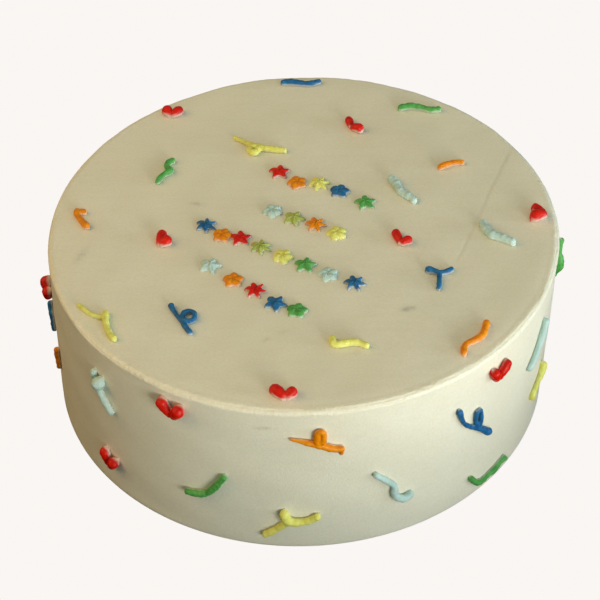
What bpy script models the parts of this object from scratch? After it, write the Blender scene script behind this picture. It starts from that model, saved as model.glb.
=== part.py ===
# A round frosted birthday cake with piped confetti: squiggles and hearts on its top and side.
# Metres, +Z up. The origin is the middle of the cake's flat underside, and -Y is its front.
import math

import bmesh
import bpy
import numpy as np

MM = 0.001

# The cake
CAKE_RADIUS = 100 * MM
CAKE_HEIGHT = 74.8 * MM
TOP_EDGE_RADIUS = 1.7 * MM
FOOT_EDGE_RADIUS = 0.8 * MM
CAKE_SEGMENTS = 64
EDGE_STEPS = 3
LEAN = 1.9 * MM  # the top stands this much to +X of the underside
TILT_X = 0.0066  # rise of the top for each metre to +X
TILT_Y = 0.0023  # rise of the top for each metre to +Y

# The piping
CLEARANCE = 0.3 * MM  # between the frosting and a piece of piping
BEAD_SIDES = 7
BEAD_HEIGHT_RATIO = 0.88  # height of a piped line for its width
RING_PITCH = 3.6 * MM  # between the sections of a straight line
RING_TURN = math.radians(54)  # between the sections of a tight bend
LINE_SHARES = [1.08, 0.88]  # width of a line along its run: a little fat at first, then thinner
HEART_SHARES = [0.66, 0.96, 1.04]  # width of a heart's drop from its tip to its far end
CROSSING_LIFT = 0.15 * MM  # a line piped over another sits this much higher
MARK_SINK = 0.6 * MM  # how far the marks in the middle reach into the frosting

COLOURS = {
    "frosting": (0.80, 0.77, 0.60, 1),
    "red": (0.62, 0.02, 0.01, 1),
    "orange": (0.82, 0.25, 0.01, 1),
    "yellow": (0.72, 0.68, 0.12, 1),
    "green": (0.06, 0.29, 0.07, 1),
    "olive": (0.38, 0.44, 0.10, 1),
    "blue": (0.02, 0.11, 0.25, 1),
    "mint": (0.42, 0.62, 0.52, 1),
}
ICING_ROUGHNESS = 0.45

# Each piped squiggle has a colour, the surface that it lies on, the width of its line in mm, and
# its strokes. A stroke is where it starts (mm), the way it first runs (degrees, 0 to the right and
# 90 away from the viewer or up) and its legs, each a length in mm and a turn in degrees. A line
# that thins or swells also has shares of its width, at even steps from its start to its end.
# On the top a place is x, y. On the side it is the distance round from the front, and the height.
SQUIGGLES = {
    "blue_wave_top_back": ("blue", "top", 2.8, [
        (-8.2, 92.7, 20, [(5.5, -32), (5, 0), (4, 32), (3.5, 5)]),
    ]),
    "green_wave_top_back": ("green", "top", 2.8, [
        (41.3, 72.2, 38, [(6, -42), (6, -26), (4, 36), (3, 14)]),
    ]),
    "green_curl_top_left": ("green", "top", 2.6, [
        (-51.6, 41.4, 180, [(2.6, 36), (2.6, 60), (2.8, 44), (1.8, 5)]),
        (-52.3, 34.9, 202, [(3, 16), (3, 14), (4.2, 38)]),
    ]),
    "yellow_loop_top_back": ("yellow", "top", 2.6, [
        (-28.2, 56.8, -38, [(9.4, -2), (4.4, 22), (8.4, 10), (3, -18)], [0.6, 0.75, 1.1, 1.0, 0.95]),
        (-20.7, 48.5, 220, [(6.3, 200)], [1.1]),
        (-18.1, 45.9, 50, [(5.7, 180)], [1.1]),
    ]),
    "orange_wave_top_right": ("orange", "top", 2.6, [
        (55.1, 32.4, 24, [(3.5, 10), (2.5, -18), (3.6, -12), (2.2, -45)]),
    ]),
    "mint_line_top_right": ("mint", "top", 3.4, [
        (35.0, 27.4, -56, [(3, -6), (6, -16), (1.4, 30), (5, 4), (3.8, -32)]),
    ]),
    "orange_hook_top_left": ("orange", "top", 2.7, [
        (-85.6, 10.7, 190, [(2.2, -14), (3.2, -14)], [1.05, 0.95]),
        (-90.0, 10.6, -68, [(5.2, 8), (6.2, 8)], [1.0, 0.85, 0.95, 1.15]),
    ]),
    "mint_hook_top_right": ("mint", "top", 3.3, [
        (70.0, -1.0, -88, [(3.4, 10), (5.2, 20), (1.6, 36), (5.5, -10), (4, -12)],
         [0.95, 1.0, 1.1, 0.95, 1.0]),
    ]),
    "blue_fork_top_right": ("blue", "top", 2.3, [
        (46.0, -28.9, 30, [(2.2, -50), (2.4, -14), (2.0, 44), (5.4, 40)], [1.35, 1.15, 0.95, 0.95, 0.9]),
        (51.2, -30.4, -92, [(9.2, -8)], [0.85, 0.85, 0.95]),
    ]),
    "yellow_peak_top_left": ("yellow", "top", 2.5, [
        (-85.3, -42.2, -50, [(4.5, 2), (4.5, 16), (4.5, 14)], [0.72, 0.72, 0.8]),
        (-74.3, -46.8, -92, [(4, 6), (5, 12), (4, 8), (3.8, 30)], [1.08, 1.0, 0.95, 1.0]),
    ]),
    "blue_loop_top_left": ("blue", "top", 2.3, [
        (-50.4, -43.6, -74, [(3.5, 8), (5, 8), (4.8, -8), (5.2, 12)], [1.1, 0.78, 0.78, 0.95, 1.0]),
        (-45.6, -51.4, 90, [(1.2, 0), (7.1, -180), (0.8, 0)], [0.88]),
        (-41.1, -50.2, -90, [(1.2, 0), (7.1, -180), (0.8, 0)], [0.88]),
    ]),
    "yellow_wave_top_front": ("yellow", "top", 2.8, [
        (9.8, -63.5, -100, [(2.8, 20), (2.6, 86), (3, 12), (3, -26), (3.8, -24), (2, 30)]),
    ]),
    "orange_wave_top_front": ("orange", "top", 2.7, [
        (66.8, -57.4, 258, [(6.4, -8), (4.2, -42), (4.3, 8), (3.6, 52), (2.8, 8)]),
    ]),
    "blue_wave_side_left": ("blue", "side", 2.1, [
        (-142.8, 51.6, -75, [(4.5, 34), (4.5, -44), (4.5, 12)]),
    ]),
    "orange_line_side_left": ("orange", "side", 2.4, [(-132.6, 35.2, -92, [(6, 8), (5.4, -6)])]),
    "mint_loop_side_left": ("mint", "side", 2.8, [
        (-90.0, 61.6, -72, [(8.5, 8), (4, 18), (7.5, 2)], [0.95, 0.88, 0.95, 1.0]),
        (-86.6, 54.0, 70, [(7, 10)], [0.9, 1.55, 1.85, 1.6]),
    ]),
    "green_curve_side_front": ("green", "side", 2.8, [
        (-46.2, 23.2, 30, [(3, -26), (3.2, 12), (5.6, 38), (8, 10), (4, -6)], [1.05, 1.0, 1.0, 0.9]),
    ]),
    "yellow_hook_side_front": ("yellow", "side", 3.0, [
        (-15.9, 7.5, 38, [(6, 4), (7.6, 8)], [0.95, 0.9]),
        (-8.0, 22.6, -88, [(3.4, 14), (3.4, 56), (3.4, 22), (5.6, 32), (2.4, 24)],
         [1.25, 1.3, 1.05, 0.95, 0.95]),
    ]),
    "orange_loop_side_front": ("orange", "side", 2.6, [
        (-6.4, 61.6, -10, [(8, -8), (7.6, -8), (3.6, 24), (1, -88), (3.2, -4)],
         [0.4, 0.78, 1.0, 1.15, 1.0, 0.6]),
        (3.5, 61.0, 92, [(3.4, -2), (3.8, -180), (3.4, -2)], [0.88]),
        (5.9, 64.4, -92, [(3.4, -2), (3.8, -180), (3.4, -2)], [0.88]),
        (4.7, 59.2, 90, [(3.2, 0)], [0.75]),
    ]),
    "mint_hook_side_front": ("mint", "side", 3.0, [
        (25.0, 38.5, -50, [(8, 4), (3.8, -8), (2.6, -46), (3.6, 34), (3.4, 36), (3, 54), (2.4, 50)],
         [0.85, 0.78, 0.85, 1.0, 1.05, 1.0]),
    ]),
    "green_wave_side_right": ("green", "side", 2.7, [
        (68.2, 13.0, -60, [(5.4, 6), (4.2, 40), (3.4, 26), (3.2, -14), (3.8, 20), (2.8, -20), (2.6, 40)],
         [1.0, 0.9, 0.9, 0.78, 0.95, 0.8, 1.1]),
    ]),
    "blue_loop_side_right": ("blue", "side", 2.3, [
        (58.6, 57.0, -78, [(7.6, 10), (4.6, 20), (8.4, 10), (4.9, -14), (4.6, 20)],
         [1.1, 0.85, 0.8, 0.85, 1.2, 1.5]),
        (69.0, 40.8, 112, [(4, -10), (4.4, -16), (1.7, -83)], [0.78]),
        (68.5, 50.2, 5, [(1.7, -83), (4.4, -10), (4.2, -26)], [0.78]),
    ]),
    "mint_line_side_right": ("mint", "side", 2.8, [
        (114.0, 62.0, -106, [(5, -22), (7, 0), (5, -14), (4.4, 10)]),
    ]),
    "yellow_step_side_right": ("yellow", "side", 2.8, [
        (121.6, 31.6, -90, [(3, -30), (3, -50), (7.5, 8), (2.6, 62), (1.6, 10)], [1.2, 1.0, 0.8, 0.8, 0.95]),
    ]),
    "green_loop_side_right": ("green", "side", 2.8, [
        (149.5, 72.0, -130, [(4, 30), (6, 0), (6, 26), (4, 10)], [0.9, 0.7, 0.72, 1.3, 1.35, 0.5, 0.4]),
    ]),
    "orange_wave_back_right": ("orange", "side", 2.7, [
        (165, 24, 40, [(5, -30), (5, -30), (5, 45), (3, 5)]),
    ]),
    "yellow_loop_back_right": ("yellow", "side", 2.7, [
        (181, 52, -30, [(7, -6), (8, 4)], [0.6, 1.0, 1.1]),
        (188.0, 48.0, 110, [(3, -14), (2.6, -12), (2.6, -90)], [0.95]),
        (188.8, 55.1, -2, [(2.6, -92), (2.6, -10), (3.6, -14)], [0.95]),
    ]),
    "mint_wave_back_right": ("mint", "side", 3.0, [(203, 36, 70, [(6, -20), (5, 40), (6, -30)])]),
    "blue_hook_back_right": ("blue", "side", 2.5, [
        (222, 14, 150, [(2.6, -20), (3.4, -95), (5, -10), (6, 15)]),
    ]),
    "green_curve_back_right": ("green", "side", 2.8, [
        (244, 44, 30, [(5, -34), (4, 6), (5, 44), (5, 12)]),
    ]),
    "yellow_wave_back_middle": ("yellow", "side", 2.8, [
        (272, 30, -100, [(4, 76), (4, 24), (4, -30), (4, -16)]),
    ]),
    "mint_loop_back_middle": ("mint", "side", 2.8, [
        (292, 58, -56, [(7, 8), (8, 8)]),
        (297.6, 51.6, 100, [(5.6, -190)], [1.05]),
        (301.0, 52.2, -80, [(5.6, -190)], [1.05]),
    ]),
    "blue_wave_back_middle": ("blue", "side", 2.6, [(-312, 24, 15, [(5, 30), (5, -55), (5, 20)])]),
    "orange_hook_back_left": ("orange", "side", 2.8, [
        (-284, 48, 160, [(2.4, 20), (3.2, 105), (4, 12), (6, 0)]),
    ]),
    "green_wave_back_left": ("green", "side", 2.8, [
        (-262, 12, 20, [(5, -20), (4, 40), (5, -20), (4, 12)]),
    ]),
    "mint_curve_back_left": ("mint", "side", 2.8, [(-233, 46, -130, [(5, -22), (6, 8), (5, -10)])]),
    "blue_loop_back_left": ("blue", "side", 2.5, [
        (-214, 24, -70, [(5, 24), (4, 6), (6, -2)]),
        (-207.6, 17.0, -20, [(13.6, 290)]),
    ]),
    "yellow_curve_back_left": ("yellow", "side", 2.8, [(-196, 60, -20, [(5, 30), (5, -40), (5, 10)])]),
    "green_hook_back_left": ("green", "side", 2.7, [(-166, 32, -80, [(5, 10), (3.8, 50), (5, 4)])]),
}

# Each red heart is two fat drops that meet at a tip: its surface, and for each drop the place where
# it starts (mm), its heading (degrees), length (mm) and width (mm).
HEARTS = {
    "heart_top_back_left": ("top", (-54.6, 72.0, 123, 5.4, 4.6), (-54.6, 71.6, 40, 6.2, 4.2)),
    "heart_top_back": ("top", (21.3, 60.6, 104, 6.4, 3.5), (20.8, 60.8, -28, 5.8, 4.2)),
    "heart_top_left": ("top", (-56.0, -10.5, 81, 7.6, 4.2), (-56.0, -10.5, 30, 5.4, 4.6)),
    "heart_top_middle": ("top", (37.7, -13.5, 106, 8.1, 3.5), (37.2, -13.4, 28, 5.4, 3.7)),
    "heart_top_right": ("top", (95.3, 2.4, 141, 6.5, 3.7), (95.6, 2.2, 205, 7.4, 5.1)),
    "heart_top_front": ("top", (-7.4, -94.2, 136, 7.8, 4.5), (-7.6, -94.4, 50, 5.4, 4.3)),
    "heart_side_left_edge": ("side", (-142.6, 56.2, 125, 6.8, 4.6), (-141.5, 54.2, 80, 6.3, 4.1)),
    "heart_side_front_left": ("side", (-49.8, 62.3, 124, 9.3, 4.5), (-49.8, 62.3, 60, 8.2, 4.9)),
    "heart_side_left_low": ("side", (-83.4, 12.4, 112, 9.4, 4.2), (-83.4, 12.4, 60, 7.6, 4.4)),
    "heart_side_right": ("side", (76.5, 61.1, 112, 7.0, 4.1), (76.5, 61.1, 47, 8.6, 3.8)),
    "heart_back_right": ("side", (160, 48, 118, 8.6, 4.6), (160, 48, 62, 8.2, 4.6)),
    "heart_back_right_low": ("side", (206, 58, 110, 8.4, 4.6), (206, 58, 52, 8.6, 4.8)),
    "heart_back_middle": ("side", (262, 60, 122, 8.8, 4.8), (262, 60, 64, 8.0, 4.4)),
    "heart_back_middle_low": ("side", (-300, 44, 108, 8.4, 4.4), (-300, 44, 46, 8.8, 4.6)),
    "heart_back_left": ("side", (-240, 60, 128, 9.0, 4.6), (-240, 60, 66, 8.0, 4.4)),
    "heart_back_left_low": ("side", (-184, 20, 114, 8.6, 4.6), (-184, 20, 56, 8.4, 4.6)),
}

# The small marks in the middle of the top, in four slanting rows: kind, colour and place (mm).
MARKS = [
    ("star", "red", -9, 33), ("blossom", "orange", -2, 26), ("burst", "yellow", 7, 25),
    ("blossom", "blue", 15, 20), ("star", "green", 25, 12.5),
    ("blossom", "mint", -12, 9), ("star", "olive", -3.5, 4), ("burst", "orange", 5, 0),
    ("blossom", "yellow", 13, -5.5),
    ("burst", "blue", -38, 1), ("blossom", "orange", -31.5, -5), ("star", "red", -24.5, -7),
    ("burst", "olive", -16.5, -12.5), ("blossom", "yellow", -8, -18), ("star", "green", 0.5, -23.5),
    ("blossom", "mint", 9, -29), ("burst", "blue", 19, -34.5),
    ("star", "mint", -36, -22.5), ("blossom", "orange", -27, -31), ("burst", "red", -18.5, -37),
    ("star", "blue", -11, -44.5), ("blossom", "green", -3, -48.5),
]
MARK_RADIUS = {"star": 4.6 * MM, "blossom": 4.2 * MM, "burst": 4.5 * MM}
MARK_HEIGHT = 2.0 * MM


def clear_scene():
    for old in list(bpy.data.objects):
        bpy.data.objects.remove(old, do_unlink=True)


def icing(name):
    """The icing of one colour."""
    material = bpy.data.materials.get(name)
    if material is None:
        material = bpy.data.materials.new(name)
        material.use_nodes = True
        shader = material.node_tree.nodes["Principled BSDF"]
        shader.inputs["Base Color"].default_value = COLOURS[name]
        shader.inputs["Roughness"].default_value = ICING_ROUGHNESS
        shader.inputs["Metallic"].default_value = 0
    return material


def settled(points):
    """Leans and tilts points of an upright cake the way the real one stands."""
    share = points[:, 2] / CAKE_HEIGHT
    rise = TILT_X * points[:, 0] + TILT_Y * points[:, 1]
    return points + np.stack([LEAN * share, np.zeros_like(share), rise * share], axis=1)


def on_cake(surface, across, along, lift):
    """World points at a place on the top or the side, raised off the frosting by lift."""
    if surface == "top":
        points = np.stack([across, along, CAKE_HEIGHT + lift], axis=1)
    else:
        angle = across / CAKE_RADIUS
        radius = CAKE_RADIUS + lift
        points = np.stack([radius * np.sin(angle), -radius * np.cos(angle), along], axis=1)
    return settled(points)


def new_object(name, mesh, colour):
    mesh.shade_smooth()
    mesh.set_sharp_from_angle(angle=math.radians(50))
    obj = bpy.data.objects.new(name, mesh)
    bpy.context.scene.collection.objects.link(obj)
    if not mesh.materials:
        mesh.materials.append(icing(colour))
    return obj


def closed_tube(name, rings, colour):
    """A closed body through rings of points, each ring a row of one array, with flat ends."""
    count, sides = rings.shape[:2]
    body = bmesh.new()
    rows = [[body.verts.new(point) for point in ring] for ring in rings]
    for lower, upper in zip(rows, rows[1:]):
        for k in range(sides):
            after = (k + 1) % sides
            body.faces.new((lower[k], lower[after], upper[after], upper[k]))
    body.faces.new(rows[0][::-1])
    body.faces.new(rows[count - 1])
    bmesh.ops.recalc_face_normals(body, faces=body.faces)
    mesh = bpy.data.meshes.new(name)
    body.to_mesh(mesh)
    body.free()
    return new_object(name, mesh, colour)


def fuse(base, others):
    """Joins the others to the base in one Boolean union and removes them."""
    if not others:
        return
    helpers = bpy.data.collections.new("helpers")
    bpy.context.scene.collection.children.link(helpers)
    for other in others:
        bpy.context.scene.collection.objects.unlink(other)
        helpers.objects.link(other)
    union = base.modifiers.new("union", "BOOLEAN")
    union.operation = "UNION"
    union.operand_type = "COLLECTION"
    union.collection = helpers
    union.material_mode = "TRANSFER"
    graph = bpy.context.evaluated_depsgraph_get()
    joined = bpy.data.meshes.new_from_object(base.evaluated_get(graph), depsgraph=graph)
    base.modifiers.clear()
    base.data = joined
    for other in others:
        bpy.data.objects.remove(other, do_unlink=True)
    bpy.data.collections.remove(helpers)


def cake_body():
    """The frosted cake: its half profile spun round, closed above and below, then settled."""
    profile = [(CAKE_RADIUS - FOOT_EDGE_RADIUS, 0), (CAKE_RADIUS, FOOT_EDGE_RADIUS)]
    for step in range(EDGE_STEPS + 1):
        turn = math.pi / 2 * step / EDGE_STEPS
        profile.append((
            CAKE_RADIUS - TOP_EDGE_RADIUS * (1 - math.cos(turn)),
            CAKE_HEIGHT - TOP_EDGE_RADIUS * (1 - math.sin(turn)),
        ))
    turns = np.arange(CAKE_SEGMENTS) * 2 * math.pi / CAKE_SEGMENTS
    rings = [
        settled(np.stack([r * np.cos(turns), r * np.sin(turns), np.full_like(turns, z)], axis=1))
        for r, z in profile
    ]
    return closed_tube("frosted_cake", np.array(rings), "frosting")


def stroke_path(stroke):
    """Places, headings and shares of the width along a stroke, close together."""
    across, along, heading, legs = stroke[:4]
    shares = stroke[4] if len(stroke) > 4 else LINE_SHARES
    step = 0.1
    headings = [heading]
    for length, turn in legs:
        count = round(length / step)
        headings += [headings[-1] + turn * (k + 1) / count for k in range(count)]
    angles = np.radians(headings)
    xs = across + np.concatenate([[0], np.cumsum(np.cos(angles[1:]))]) * step
    ys = along + np.concatenate([[0], np.cumsum(np.sin(angles[1:]))]) * step
    swell = np.interp(np.linspace(0, 1, len(xs)), np.linspace(0, 1, len(shares)), shares)
    return xs * MM, ys * MM, angles, swell, step * (len(xs) - 1) * MM


def bead_rings(surface, xs, ys, angles, halves, heights, lift):
    """Rings of a piped line's section: an oval with a flattened foot, across each place on the path."""
    around = -math.pi / 2 + (np.arange(BEAD_SIDES) + 0.5) * 2 * math.pi / BEAD_SIDES
    rings = []
    for x, y, angle, half, height in zip(xs, ys, angles, halves, heights):
        aside = half * np.cos(around)
        up = np.maximum(height * (0.42 + 0.58 * np.sin(around)), 0) + lift
        rings.append(on_cake(surface, x - aside * math.sin(angle), y + aside * math.cos(angle), up))
    return np.array(rings)


def piped_stroke(name, colour, surface, width, stroke, order):
    """One line of icing, rounded at both ends, with more sections where it bends."""
    xs, ys, angles, swell, length = stroke_path(stroke)
    places = np.linspace(0, length, len(xs))
    first, last = width / 2 * swell[0], width / 2 * swell[-1]
    need = places / RING_PITCH + np.append(0, np.cumsum(np.abs(np.diff(angles)))) / RING_TURN
    begin, finish = np.interp([first, length - last], places, need)
    middle = np.linspace(begin, finish, max(2, round(finish - begin) + 1))
    caps = np.array([0, 0.35])
    stations = np.concatenate([first * caps, np.interp(middle, need, places), length - last * caps[::-1]])
    inset = np.minimum(stations / first, (length - stations) / last)
    rounding = np.sqrt(np.clip(1 - (1 - np.clip(inset, 0, 1)) ** 2, 0.16, 1))
    xs, ys, angles, swell = (np.interp(stations, places, row) for row in (xs, ys, angles, swell))
    halves = width / 2 * swell * rounding
    heights = width * BEAD_HEIGHT_RATIO * swell * (0.35 + 0.65 * rounding)
    rings = bead_rings(surface, xs, ys, angles, halves, heights, CLEARANCE + order * CROSSING_LIFT)
    return closed_tube(name if order == 0 else f"{name}_stroke_{order}", rings, colour)


def squiggle(name, colour, surface, width, strokes):
    pieces = [
        piped_stroke(name, colour, surface, width * MM, stroke, order) for order, stroke in enumerate(strokes)
    ]
    fuse(pieces[0], pieces[1:])


def heart(name, surface, *drops):
    """Two drops that meet at the tip, each narrower there and fat at its far end."""
    pieces = []
    for order, (across, along, heading, length, width) in enumerate(drops):
        stroke = (across, along, heading, [(length, 0)], HEART_SHARES)
        pieces.append(piped_stroke(name, "red", surface, width * MM, stroke, order))
    fuse(pieces[0], pieces[1:])


def mark_outline(kind):
    """How far a mark reaches at even turns round it, as shares of its radius."""
    if kind == "star":
        return np.array([1.0, 0.48] * 5)
    if kind == "burst":
        return np.array([1.0, 0.42] * 6)
    return np.array([1.0, 0.74, 0.74] * 5)


def mark(index, kind, colour, across, along):
    """A small low mark, domed over its outline and sunk a little into the top."""
    outline = mark_outline(kind)
    turns = math.pi / 2 + np.arange(len(outline)) * 2 * math.pi / len(outline) + index * 0.35
    rings = []
    for share, lift in ((0.94, -MARK_SINK), (1.0, 0.45 * MARK_HEIGHT), (0.45, MARK_HEIGHT)):
        reach = outline * share * MARK_RADIUS[kind]
        height = np.full(len(outline), lift)
        xs = across * MM + reach * np.cos(turns)
        ys = along * MM + reach * np.sin(turns)
        rings.append(on_cake("top", xs, ys, height))
    return closed_tube(f"mark_{index}", np.array(rings), colour)


def main():
    clear_scene()
    cake = cake_body()
    fuse(cake, [mark(index, *row) for index, row in enumerate(MARKS)])
    for name, (colour, surface, width, strokes) in SQUIGGLES.items():
        squiggle(name, colour, surface, width, strokes)
    for name, row in HEARTS.items():
        heart(name, *row)


main()
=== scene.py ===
# A round frosted birthday cake with confetti piping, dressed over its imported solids.
# Metres, +Z up. The cake stands on its flat underside at the origin, and -Y is its front.
import math

import bpy
import numpy as np
from mathutils import Matrix, Vector


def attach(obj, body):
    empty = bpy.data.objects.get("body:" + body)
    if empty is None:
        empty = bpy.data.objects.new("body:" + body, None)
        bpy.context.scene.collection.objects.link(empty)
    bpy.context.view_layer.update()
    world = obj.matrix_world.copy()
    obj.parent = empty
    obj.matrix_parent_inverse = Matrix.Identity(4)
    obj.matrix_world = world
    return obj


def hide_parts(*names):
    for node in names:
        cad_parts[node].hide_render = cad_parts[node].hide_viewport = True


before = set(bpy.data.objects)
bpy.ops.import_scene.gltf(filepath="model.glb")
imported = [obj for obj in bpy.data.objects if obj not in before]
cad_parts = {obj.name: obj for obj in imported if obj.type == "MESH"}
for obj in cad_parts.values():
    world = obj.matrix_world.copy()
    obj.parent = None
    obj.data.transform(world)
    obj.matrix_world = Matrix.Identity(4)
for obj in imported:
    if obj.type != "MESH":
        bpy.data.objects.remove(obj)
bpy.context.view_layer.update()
mm = 0.001
print("frame loaded:", len(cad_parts), "solids")

# The cake's size and stance, as its solid has them
cake = {
    "radius": 100 * mm,
    "height": 74.8 * mm,
    "topEdge": 1.7 * mm,
    "footEdge": 0.8 * mm,
    "lean": 1.9 * mm,  # the top stands this much to +X of the underside
    "tiltX": 0.0066,  # rise of the top for each metre to +X
    "tiltY": 0.0023,
    "around": 600,  # points in each ring of the surface
    "rings": {"under": 7, "foot": 4, "side": 50, "edge": 12, "top": 88},  # rings in each stretch
    "underHole": 10 * mm,  # reach of the innermost ring of the underside
    "topHole": 0.9 * mm,  # and of the top
    "topWaves": [(0.07, 46, 20), (0.05, 31, 75), (0.035, 19, -35)],  # height mm, length mm, heading
    "sideWaves": [(0.10, 3, 60), (0.07, 7, 34), (0.05, 13, 21)],  # depth mm, waves round, length mm
    "wavesFrom": (1 * mm, 6 * mm),  # the side's waves grow from nothing between these heights
    "rimWaves": [(0.16, 11), (0.12, 17), (0.10, 29)],  # how far the rim is rubbed down, waves round
    "rimCrumbs": [(0.08, 5.5), (0.06, 3.2)],  # depth and width of the rim's lumps (mm)
    "rimStandOut": 0.2,  # how much of its depth a lump may stand out
    "rimReach": 4.0 * mm,  # how far from the top edge the roughness goes
    "droop": 0.4 * mm,  # how much lower the top is at its edge
    "droopReach": 8 * mm,  # how far in from the edge it starts to fall
}

# Smears and rub marks left on the frosting: surface, place (mm), length, width (mm), heading, strength
smears = [
    ("top", 38.3, -48.6, 2.6, 1.2, 14, 1.0),
    ("top", -42.0, 15.0, 3.0, 1.2, -10, 0.5),
    ("top", -86.0, -14.0, 5.0, 1.6, 65, 0.45),
    ("top", -14.6, -63.3, 1.4, 0.8, 30, 0.5),
    ("top", -8.3, -59.3, 2.4, 0.7, 10, 0.3),
    ("top", 18.1, -70.7, 2.2, 1.6, 80, 0.25),
    ("side", -15.8, 65.9, 3.0, 0.8, 0, 0.6),
    ("side", 17.3, 59.2, 2.6, 0.5, 12, 0.3),
]


def leanOf(points):
    # How far each point moves sideways and up, by its share of the height, as the whole cake leans
    share = points[..., 2] / cake["height"]
    rise = cake["tiltX"] * points[..., 0] + cake["tiltY"] * points[..., 1]
    return np.stack([cake["lean"] * share, np.zeros_like(share), rise * share], axis=-1)


def settled(points):
    return points + leanOf(points)


def unsettled(points):
    # The move backwards, near enough for a place within a few mm of the surface
    return points - leanOf(points)


def topRelief(x, y):
    # A sum of slanting waves, height times the sine of the distance along a heading, less a fall
    # near the edge that grows with the square of the distance into it
    inward = (cake["radius"] - np.hypot(x, y)) / cake["droopReach"]
    total = -cake["droop"] * (1 - np.clip(inward, 0, 1)) ** 2
    for k, (height, length, heading) in enumerate(cake["topWaves"]):
        along = x * math.cos(math.radians(heading)) + y * math.sin(math.radians(heading))
        total = total + height * mm * np.sin(2 * math.pi * along / (length * mm) + 1.7 * k)
    return total


def sideRelief(turn, z):
    # A sum of waves round the side, each sheared a little with height
    total = np.zeros_like(turn)
    for k, (depth, waves, length) in enumerate(cake["sideWaves"]):
        total = total + depth * mm * np.sin(waves * turn + 2 * math.pi * z / (length * mm) + 2.3 * k)
    return total


def onCake(surface, across, along, lift):
    # A place on the top or the side, raised off the uneven frosting by lift
    if surface == "top":
        up = cake["height"] + lift + topRelief(across, along)
        return settled(np.stack([across, along, up], axis=-1))
    turn = across / cake["radius"]
    reach = cake["radius"] + lift + sideRelief(turn, along)
    return settled(np.stack([reach * np.sin(turn), -reach * np.cos(turn), along], axis=-1))


def aboveFrosting(surface, points):
    # How high points stand over the frosting under them
    flat = unsettled(points)
    if surface == "top":
        return flat[:, 2] - cake["height"] - topRelief(flat[:, 0], flat[:, 1])
    turn = np.arctan2(flat[:, 0], -flat[:, 1])
    return np.hypot(flat[:, 0], flat[:, 1]) - cake["radius"] - sideRelief(turn, flat[:, 2])


def smoothStep(low, high, value):
    t = np.clip((value - low) / (high - low), 0, 1)
    return t * t * (3 - 2 * t)


def ripple(points, length, seed):
    # Soft unevenness from -1 to 1: the mean of sines along eight random directions
    rng = np.random.default_rng(seed)
    ways = rng.normal(size=(8, 3))
    ways /= np.linalg.norm(ways, axis=1)[:, None]
    turns = points @ ways.T * (2 * math.pi / length) * rng.uniform(0.7, 1.4, 8)
    return np.sin(turns + rng.uniform(0, 2 * math.pi, 8)).sum(axis=1) / 4


def ringQuads(rows, columns):
    # Quads between neighbouring rings of points
    k = np.arange(columns)
    after = (k + 1) % columns
    row = np.arange(rows - 1)[:, None] * columns
    quads = np.stack([row + k, row + after, row + columns + after, row + columns + k], axis=-1)
    return quads.reshape(-1, 4).tolist()


def ringSkin(rings, firstPoint, lastPoint):
    # A closed skin through rings of points (rings, points, 3), shut at each end by a fan of
    # triangles to one more point
    rows, columns = rings.shape[:2]
    points = np.concatenate([rings.reshape(-1, 3), [firstPoint, lastPoint]])
    k = np.arange(columns)
    after = (k + 1) % columns
    last = (rows - 1) * columns
    firstFan = np.stack([after, k, np.full(columns, rows * columns)], axis=-1)
    lastFan = np.stack([last + k, last + after, np.full(columns, rows * columns + 1)], axis=-1)
    faces = ringQuads(rows, columns) + firstFan.tolist() + lastFan.tolist()
    return points, outward(points, faces)


def outward(points, faces):
    # Turns the faces round if the volume that they enclose comes out negative
    corners = np.array([(face[0], face[k], face[k + 1]) for face in faces for k in range(1, len(face) - 1)])
    a, b, c = (points[corners[:, k]] - points[0] for k in range(3))
    if np.einsum("ij,ij->i", a, np.cross(b, c)).sum() < 0:
        return [face[::-1] for face in faces]
    return faces


def merged(skins):
    # Several skins as one list of points and faces
    points, faces, count = [], [], 0
    for skinPoints, skinFaces in skins:
        points.append(skinPoints)
        faces += [[corner + count for corner in face] for face in skinFaces]
        count += len(skinPoints)
    return np.concatenate(points), faces


def meshOf(name, points, faces):
    mesh = bpy.data.meshes.new(name)
    mesh.from_pydata(points.tolist(), [], faces)
    mesh.validate()
    mesh.shade_smooth()
    return mesh


def pointsOf(mesh):
    points = np.empty(len(mesh.vertices) * 3, np.float32)
    mesh.vertices.foreach_get("co", points)
    return points.reshape(-1, 3).astype(float)


def normalsOf(mesh):
    normals = np.empty(len(mesh.vertices) * 3, np.float32)
    mesh.vertex_normals.foreach_get("vector", normals)
    return normals.reshape(-1, 3).astype(float)


def setPoints(mesh, points):
    mesh.vertices.foreach_set("co", points.astype(np.float32).ravel())
    mesh.update()


def setValues(mesh, name, values):
    attribute = mesh.attributes.new(name, "FLOAT", "POINT")
    attribute.data.foreach_set("value", values.astype(np.float32))


def placed(name, mesh, material, slot, *nodes):
    # A finished piece: it rides on the cake and stands for its solids
    mesh.materials.clear()
    mesh.materials.append(material)
    piece = bpy.data.objects.new(name, mesh)
    bpy.context.scene.collection.objects.link(piece)
    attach(piece, "root")
    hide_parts(*nodes)


def fusedMesh(name, points, faces, voxel, rounds):
    # Overlapping skins become one skin, with the crease between them a little softened
    source = bpy.data.objects.new(name + "_source", meshOf(name + "_source", points, faces))
    bpy.context.scene.collection.objects.link(source)
    remesh = source.modifiers.new("fuse", "REMESH")
    remesh.mode = "VOXEL"
    remesh.voxel_size = voxel
    soften = source.modifiers.new("soften", "SMOOTH")
    soften.factor = 0.5
    soften.iterations = rounds
    graph = bpy.context.evaluated_depsgraph_get()
    mesh = bpy.data.meshes.new_from_object(source.evaluated_get(graph), depsgraph=graph)
    mesh.name = name
    old = source.data
    bpy.data.objects.remove(source)
    bpy.data.meshes.remove(old)
    mesh.shade_smooth()
    return mesh


# Shader helpers

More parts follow.
